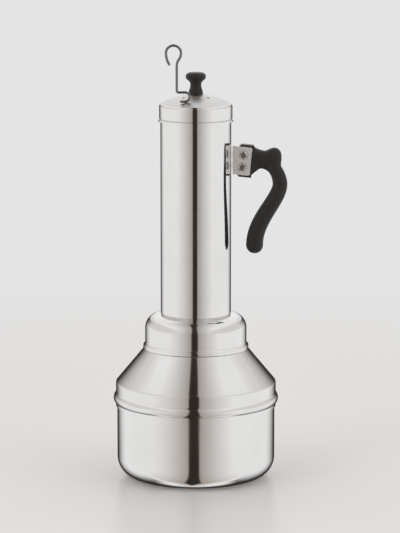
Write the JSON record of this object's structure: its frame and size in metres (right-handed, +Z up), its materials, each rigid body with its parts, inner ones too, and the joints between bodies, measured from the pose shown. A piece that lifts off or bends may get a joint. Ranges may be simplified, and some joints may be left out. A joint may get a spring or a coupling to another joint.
{
  "type": "puttu maker",
  "caption": "Stovetop puttu steamer: round water pot, conical cover, tall steaming tube with a side handle, perforated disc, knobbed lid and a wire stick.",
  "frame": {"origin": "middle of the pot's flat base, on the surface that the pot stands on", "axes": "+Z up along the tube's axis, +X towards the handle, -Y towards the side that the stick stands on"},
  "size_m": [0.1731, 0.1648, 0.4356],
  "materials": {
    "polished_steel": "mirror polished stainless steel",
    "black_phenolic": "compression moulded, semi gloss",
    "plated_fastener": "nickel plated, turned",
    "turned_brass": "turned"
  },
  "bodies": {
    "pot": {"pot": "polished_steel"},
    "cover": {"pot_cover": "polished_steel"},
    "tube": {"tube_collar": "polished_steel", "steam_tube": "polished_steel", "handle_bracket": "polished_steel", "handle": "black_phenolic", "handle_screw_upper": "plated_fastener", "handle_screw_lower": "plated_fastener", "handle_nut_upper": "plated_fastener", "handle_nut_lower": "plated_fastener"},
    "disc": {"steam_disc": "polished_steel"},
    "lid": {"lid": "polished_steel", "lid_knob": "black_phenolic", "knob_insert": "turned_brass", "knob_washer": "plated_fastener", "knob_screw": "plated_fastener"},
    "stick": {"stick": "polished_steel"}
  },
  "joints": [
    {"name": "cover_lift", "type": "slide", "parent": "pot", "child": "cover", "axis": [0, 0, 1], "range_m": [0, 0.06]},
    {"name": "tube_lift", "type": "slide", "parent": "cover", "child": "tube", "axis": [0, 0, 1], "range_m": [0, 0.05]},
    {"name": "disc_slide", "type": "slide", "parent": "tube", "child": "disc", "axis": [0, 0, 1], "range_m": [0, 0.2]},
    {"name": "lid_lift", "type": "slide", "parent": "tube", "child": "lid", "axis": [0, 0, 1], "range_m": [0, 0.05]},
    {"name": "stick_lift", "type": "slide", "parent": "lid", "child": "stick", "axis": [0, 0, 1], "range_m": [0, 0.05]}
  ]
}
